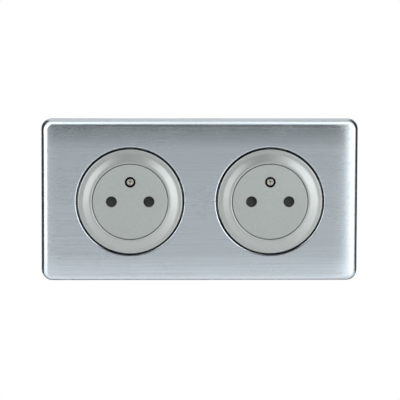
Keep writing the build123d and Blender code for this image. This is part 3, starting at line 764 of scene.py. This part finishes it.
def cutOut(piece, cutter):  # takes the cutter's shape out of the piece and drops the cutter
    cut = piece.modifiers.new("cut", "BOOLEAN")
    cut.object = cutter
    cut.solver = "EXACT"
    cut.use_self = True  # the marks' bars cross each other
    bakeShape(piece)
    bpy.data.objects.remove(cutter)


def discOutline():
    return [
        (0.0, disc["front"], 0.0), (disc["faceRing"], disc["front"], 0.0),
        (disc["radius"], disc["front"], disc["edgeRound"]),
        (disc["radius"], disc["skirtBack"], disc["skirtRound"]),
        (disc["skirtBore"], disc["skirtBack"], disc["skirtRound"]),
        (disc["skirtBore"], disc["back"], disc["innerRound"]), (0.0, disc["back"], 0.0),
    ]


def drillDisc(piece, x):
    bm = bmesh.new()
    holes = ((disc["pinHole"], -disc["pinSide"], 0.0), (disc["pinHole"], disc["pinSide"], 0.0),
             (disc["earthHole"], 0.0, disc["earthHeight"]))
    for radius, across, up in holes:
        addRod(bm, radius, disc["front"] - 1, disc["back"] + 1, x + across, up, disc["holeSteps"])
    toMetres(bm)
    cutOut(piece, pieceFrom(bm, piece.name + "HoleCutter"))
    mergeFlats(piece.data, gaps["new"])


def makeDisc(side, middle):
    x = middle / mm
    nodeName = side + "_socket_disc"
    piece = turnedPiece(nodeName, discOutline(), (middle, 0, 0), disc, closed=False)
    drillDisc(piece, x)
    bm = bmesh.new()
    centre = Matrix.Translation((x, 0, 0))
    for angle in disc["lugAngles"]:
        turn = centre @ Matrix.Rotation(math.radians(angle), 4, "Y")
        addBlock(bm, (disc["radius"] - disc["lugRoot"], disc["lugFront"], -disc["lugWidth"] / 2),
                 (disc["lugReach"], disc["skirtBack"], disc["lugWidth"] / 2), turn)
    inner, outer, low, high = disc["rail"]
    seatHalf, seatLow, seatHigh = disc["seat"]
    addBlock(bm, (x - seatHalf, disc["back"], seatLow), (x + seatHalf, disc["railBack"], seatHigh))
    for sign in (-1, 1):
        ends = sorted((x + sign * inner, x + sign * outer))
        addBlock(bm, (ends[0], disc["back"], low), (ends[1], disc["railBack"], high))
        for across, up in disc["pegs"]:
            addRod(bm, disc["pegBoss"], disc["back"], disc["railBack"], x + sign * across, up)
            addRod(bm, disc["pegRadius"], disc["railBack"], disc["pegBack"], x + sign * across, up)
    toMetres(bm)
    bm.from_mesh(piece.data)
    bm.to_mesh(piece.data)
    bm.free()
    smoothShade(piece.data)
    addEdgeRound(piece, disc["holeRound"] * mm, disc["holeRoundSteps"], disc["holeAngle"])
    settle(piece, side + "_disc", nodeName)


for side, middle in sides.items():
    makeDisc(side, middle)
print("discs made")

# Earth pins: a nose with a centre mark, a shoulder in the well floor and a riveted end

earthPin = {
    "height": 10.0, "steps": 96, "cornerSteps": 4,
    "outline": (  # radius, depth and corner radius
        (0.0, -9.55, 0.0), (0.35, -9.6, 0.2), (0.85, -10.0, 0.2), (1.65, -10.0, 0.3), (2.4, -8.9, 0.5),
        (2.4, 4.2, 0.1), (2.1, 4.2, 0.05), (2.1, 12.1, 0.05), (3.6, 12.1, 0.1), (3.6, 14.5, 0.1),
        (1.4, 14.5, 0.05), (1.4, 15.3, 0.05), (2.0, 15.3, 0.05), (2.0, 15.9, 0.3), (0.0, 15.9, 0.0),
    ),
}

for side, middle in sides.items():
    nodeName = side + "_earth_pin"
    centre = (middle, 0, earthPin["height"] * mm)
    piece = turnedPiece(nodeName, earthPin["outline"], centre, earthPin, closed=False)
    settle(piece, "housing", nodeName)
print("earth pins made")

# CAD parts whose shape is right: a copy with merged flat faces, rounded edges and its finish

marks = {  # sunk into the back of each rear base; places across and up from the socket's middle
    "back": 26.5, "depth": 0.3, "letterSize": 4.4, "bolder": 0.1, "curveSteps": 4, "weld": 1e-4,
    "near": 1e-6, "digits": 6,  # how closely places are compared, in metres
    "flatAbove": 1.5e-6,  # faces of more square metres stay flat
    "letters": (("L", -14.0, -4.6), ("N", 14.0, -4.6), ("12 mm", 0.0, -7.4)),
    "bars": (  # across, up, length and height: the earth sign, then the stripping gauge
        (0.0, 11.2, 0.45, 2.6), (0.0, 9.9, 3.8, 0.45), (0.0, 8.9, 2.4, 0.45), (0.0, 7.9, 1.0, 0.45),
        (0.0, -4.0, 12.0, 0.6), (-5.8, -4.0, 0.4, 2.0), (5.8, -4.0, 0.4, 2.0),
    ),
}


def marksCutter(name, x):
    bm = bmesh.new()
    front, back = marks["back"] - marks["depth"], marks["back"] + 1
    for across, up, length, height in marks["bars"]:
        addBlock(bm, (x + across - length / 2, front, up - height / 2),
                 (x + across + length / 2, back, up + height / 2))
    for word, across, up in marks["letters"]:
        curve = bpy.data.curves.new(name, "FONT")
        curve.body = word
        curve.size = marks["letterSize"]
        curve.extrude = (back - front) / 2
        curve.offset = marks["bolder"]
        curve.resolution_u = marks["curveSteps"]
        curve.align_x = curve.align_y = "CENTER"
        holder = linkPiece(name, curve)
        letters = plainMesh(holder)
        bpy.data.objects.remove(holder)
        middle = (front + back) / 2
        letters.transform(Matrix((
            (-1, 0, 0, x + across), (0, 0, 1, middle), (0, 1, 0, up), (0, 0, 0, 1))))
        bm.from_mesh(letters)
    bmesh.ops.remove_doubles(bm, verts=bm.verts, dist=marks["weld"])
    bmesh.ops.recalc_face_normals(bm, faces=bm.faces)
    toMetres(bm)
    return pieceFrom(bm, name)


def sinkMarks(piece, cutter, edgeRound):  # rounds the piece's own edges, the marks stay sharp
    def places(verts):
        return {vert.co.to_tuple(marks["digits"]) for vert in verts}

    corners = places(piece.data.vertices)
    cutOut(piece, cutter)
    bm = bmesh.new()
    bm.from_mesh(piece.data)
    weight = bm.edges.layers.float.new("bevel_weight_edge")
    for edge in bm.edges:
        if places(edge.verts) <= corners and edge.calc_face_angle(0.0) > math.radians(roundAngle):
            edge[weight] = 1.0
    ink = bm.faces.layers.float.new("ink")
    floor = (marks["back"] - marks["depth"]) * mm
    for face in bm.faces:
        face[ink] = 1.0 if abs(face.calc_center_median().y - floor) < marks["near"] else 0.0
    bm.to_mesh(piece.data)
    bm.free()
    addEdgeRound(piece, edgeRound * mm)
    piece.modifiers["edgeRound"].limit_method = "WEIGHT"
    piece.modifiers["edgeRound"].harden_normals = False
    smoothShade(bakeShape(piece), roundAngle)
    for face in piece.data.polygons:
        face.use_smooth = face.area < marks["flatAbove"]


def dressNode(nodeName, edgeRound):
    name = pieceName(nodeName)
    piece = linkPiece(name, nodes[nodeName].data.copy())
    piece.data.name = name
    mergeFlats(piece.data, gaps["cad"])
    if nodeName.endswith("_rear_base"):
        side = nodeName.split("_")[0]
        sinkMarks(piece, marksCutter(name + "Marks", sides[side] / mm), edgeRound)
    else:
        smoothShade(piece.data, roundAngle)
        addEdgeRound(piece, edgeRound * mm)
    settle(piece, nodes[nodeName]["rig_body"], nodeName)


dressed = {"plate_carrier": 0.15, "mounting_frame": 0.15}  # edge round of each CAD part in millimetres
dressedInSocket = {
    "shutter": 0.12, "shutter_cover": 0.12, "well_sleeve": 0.15, "well_floor": 0.15, "rear_base": 0.25,
    "neutral_contact": 0.05, "line_contact": 0.05, "line_terminal": 0.08, "neutral_terminal": 0.08,
    "earth_terminal": 0.08, "earth_strap": 0.06,
}
for nodeName, edgeRound in dressed.items():
    dressNode(nodeName, edgeRound)
for side in sides:
    for nodeName, edgeRound in dressedInSocket.items():
        dressNode(side + "_" + nodeName, edgeRound)
print("CAD parts dressed")

# Springs: real coils behind each disc and each shutter

discSpring = {
    "side": 11.03, "floor": 10.9, "top": -8.9, "coil": 1.6, "wire": 0.3, "turns": 9.0, "keep": 0.242,
}
shutterSpring = {
    "depth": -7.55, "foot": -15.8, "top": -6.0, "coil": 0.8, "wire": 0.2, "turns": 8.0, "keep": 0.327,
}


def makeSprings(nodeName, places, shape, length, turn):
    bm = bmesh.new()
    for x, y, z in places:
        bm.verts.new((x * mm, y * mm, z * mm))
    piece = pieceFrom(bm, pieceName(nodeName))
    closeMesh(runTree(piece, "spring", {
        "Length": length * mm, "Coil Radius": shape["coil"] * mm, "Wire Radius": shape["wire"] * mm,
        "Turns": shape["turns"], "Turn": turn, "Material": materials[slotOf[nodeName]],
    }))
    smoothShade(piece.data, coilShape["shadeAngle"])
    return piece


for side, middle in sides.items():
    x = middle / mm
    places = [(x + sign * discSpring["side"], discSpring["floor"], discSpring["side"]) for sign in (-1, 1)]
    length = discSpring["floor"] - discSpring["top"]
    piece = makeSprings(side + "_disc_springs", places, discSpring, length, (math.pi / 2, 0, 0))
    settle(piece, "housing", side + "_disc_springs")
    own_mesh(piece)
    places = [(x, shutterSpring["depth"], shutterSpring["foot"])]
    length = shutterSpring["top"] - shutterSpring["foot"]
    piece = makeSprings(side + "_shutter_spring", places, shutterSpring, length, (0, 0, 0))
    settle(piece, side + "_disc", side + "_shutter_spring")
    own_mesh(piece)
print("springs made")

# Screws: sizes, then the seats with the way each head faces

terminalScrew = {
    "Head Radius": 2.3 * mm, "Head Height": 1.4 * mm, "Shank Radius": 1.25 * mm, "Shank Length": 3.9 * mm,
    "Thread Pitch": 0.5 * mm, "Slot Width": 0.8 * mm, "Slot Depth": 0.8 * mm,
}
housingScrew = {
    "Head Radius": 2.4 * mm, "Head Height": 1.4 * mm, "Shank Radius": 1.2 * mm, "Shank Length": 18.4 * mm,
    "Thread Pitch": 0.7 * mm, "Slot Width": 0.8 * mm, "Slot Depth": 0.9 * mm,
}
terminalSeats = (
    (-18.0, 19.8, -9.5, (-1, 0, 0)), (18.0, 19.8, -9.5, (1, 0, 0)), (0.0, 19.8, 19.9, (0, 0, 1)),
)
housingSeats = ((17.5, 24.9, 17.5, (0, 1, 0)), (-17.5, 24.9, -17.5, (0, 1, 0)))


def makeScrews(nodeName, middle, seats, shape):
    bm = bmesh.new()
    layer = bm.verts.layers.float_vector.new("facing")
    for x, y, z, facing in seats:
        vert = bm.verts.new((middle + x * mm, y * mm, z * mm))
        vert[layer] = facing
    piece = pieceFrom(bm, pieceName(nodeName))
    runTree(piece, "screw", {**shape, "Material": materials[slotOf[nodeName]]})
    smoothShade(piece.data, screwShape["shadeAngle"])
    settle(piece, "housing", nodeName)


for side, middle in sides.items():
    makeScrews(side + "_terminal_screws", middle, terminalSeats, terminalScrew)
    makeScrews(side + "_housing_screws", middle, housingSeats, housingScrew)
print("screws made")

# Camera, light and surroundings

view = {
    "azimuth": -1.91, "elevation": 7.1, "roll": 0.2, "distance": 1.6, "lens": 284.0, "sensor": 36.0,
    "target": (-0.00007, -0.009, 0.00075), "clip": (0.01, 50.0),
}


def makeCamera():
    azimuth, elevation, roll = (math.radians(view[key]) for key in ("azimuth", "elevation", "roll"))
    back = Vector((
        math.sin(azimuth) * math.cos(elevation), -math.cos(azimuth) * math.cos(elevation),
        math.sin(elevation)))
    right = (-back).cross(Vector((0, 0, 1))).normalized()
    up = right.cross(-back)
    turnedRight = right * math.cos(roll) + up * math.sin(roll)
    turnedUp = up * math.cos(roll) - right * math.sin(roll)
    camera = bpy.data.objects.new("camera", bpy.data.cameras.new("camera"))
    camera.data.lens = view["lens"]
    camera.data.sensor_width = view["sensor"]
    camera.data.clip_start, camera.data.clip_end = view["clip"]
    place = Matrix((turnedRight, turnedUp, back)).transposed().to_4x4()
    place.translation = Vector(view["target"]) + back * view["distance"]
    camera.matrix_world = place
    scene.collection.objects.link(camera)
    scene.camera = camera


def makeSoftbox(name, place, target, width, height, power):
    light = bpy.data.lights.new(name, "AREA")
    light.shape = "RECTANGLE"
    light.size, light.size_y, light.energy = width, height, power
    box = bpy.data.objects.new(name, light)
    box.location = place
    box.rotation_euler = (Vector(target) - Vector(place)).to_track_quat("-Z", "Y").to_euler()
    box.visible_camera = False
    scene.collection.objects.link(box)


def upright(start, end, low, high):  # corners of a card that stands on the line from start to end
    return (*start, low), (*end, low), (*end, high), (*start, high)


softboxes = {  # place, aim, width, height and power
    "leftSoftbox": ((-1.64, -0.73, 0.45), (0, 0, 0.1), 2.4, 1.8, 32.0),
    "rightSoftbox": ((1.49, -1.225, 0.45), (0.0, 0.08, 0.1), 2.6, 1.8, 34.0),
    "topSoftbox": ((0.0, -0.3, 1.6), (0, 0, 0), 3.0, 1.4, 17.0),
}
flags = {  # dark cards that only glossy rays see, so they shape the reflections and not the light
    "upperFlag": ((-0.27, -0.90, 0.02), (0.27, -0.90, 0.02), (0.42, -0.62, 0.85), (-0.42, -0.62, 0.85)),
    "leftFlag": upright((-2.6, 0.55), (-0.5, 2.5), -1.2, 1.6),
    "rightFlag": upright((0.5, 2.5), (2.75, -0.15), -1.2, 1.6),
    "lowerFlag": ((-0.9, 0.2, -0.58), (0.9, 0.2, -0.58), (0.9, 0.7, -0.58), (-0.9, 0.7, -0.58)),
}
glows = {  # bright cards, seen in reflections only, and how bright each is
    "rightGlow": (upright((0.87, -1.90), (1.40, -0.9), -0.45, 1.3), 2.5),
    "rightEdgeGlow": (upright((0.50, -1.1), (0.67, -1.1), -0.55, 0.45), 3.6),
    "leftGlow": (upright((-0.84, -1.71), (-1.56, -1.09), 0.5, 1.7), 2.6),
    "rightSideGlow": (upright((1.35, -0.72), (1.70, -0.09), -0.6, 0.1), 0.8),
    "leftSideGlow": (upright((-1.70, -0.09), (-1.35, -0.72), -0.6, 0.1), 0.8),
}
studio = {
    "worldLight": 0.22,  # the white world is seen in full, and lights the part this much
    "floor": ((-3, -3, -0.6), (3, -3, -0.6), (3, 1.0, -0.6), (-3, 1.0, -0.6)),
    "floorColour": (0.86, 0.86, 0.86), "floorInGloss": 0.45, "floorInCamera": 0.7,
    "flagColour": (0.03, 0.03, 0.032), "glowColour": (0.8, 0.8, 0.8), "cardRoughness": 0.9,
}


def seenRays(tree):  # 1 for the camera's rays, and 1 for those of a reflection or through glass
    rays = tree.nodes.new("ShaderNodeLightPath").outputs
    others = mathNode(tree, "MAXIMUM", rays["Is Glossy Ray"], rays["Is Transmission Ray"])
    return rays["Is Camera Ray"], others


def makeCard(name, corners, colour, glow, cameraGlow=0.0):
    material = bpy.data.materials.new(name)
    material.use_nodes = True
    tree = material.node_tree
    shader = tree.nodes["Principled BSDF"]
    shader.inputs["Base Color"].default_value = (*colour, 1)
    shader.inputs["Roughness"].default_value = studio["cardRoughness"]
    shader.inputs["Emission Color"].default_value = (1, 1, 1, 1)
    if glow:
        camera, others = seenRays(tree)
        forCamera, forOthers = productNode(tree, camera, cameraGlow), productNode(tree, others, glow)
        strength = mathNode(tree, "ADD", forCamera, forOthers)
        tree.links.new(strength, shader.inputs["Emission Strength"])
    mesh = bpy.data.meshes.new(name)
    mesh.from_pydata(corners, [], [(0, 1, 2, 3)])
    mesh.materials.append(material)
    card = linkPiece(name, mesh)
    return card


def hideFromAllButGloss(card):
    card.visible_camera = card.visible_diffuse = card.visible_shadow = False


def makeSurroundings():
    world = bpy.data.worlds.new("studio")
    world.use_nodes = True
    scene.world = world
    tree = world.node_tree
    seen = mathNode(tree, "MAXIMUM", *seenRays(tree))
    strength = addNode(tree, "ShaderNodeMapRange", {"Value": seen, "To Min": studio["worldLight"]})
    background = tree.nodes["Background"]
    background.inputs["Color"].default_value = (1, 1, 1, 1)
    tree.links.new(strength.outputs[0], background.inputs["Strength"])
    makeCard(
        "floor", studio["floor"], studio["floorColour"], studio["floorInGloss"], studio["floorInCamera"])
    for name, corners in flags.items():
        hideFromAllButGloss(makeCard(name, corners, studio["flagColour"], 0.0))
    for name, (corners, glow) in glows.items():
        hideFromAllButGloss(makeCard(name, corners, studio["glowColour"], glow))


makeCamera()
for name, box in softboxes.items():
    makeSoftbox(name, *box)
makeSurroundings()
scene.view_settings.view_transform = "Standard"
print("camera, light and surroundings made")
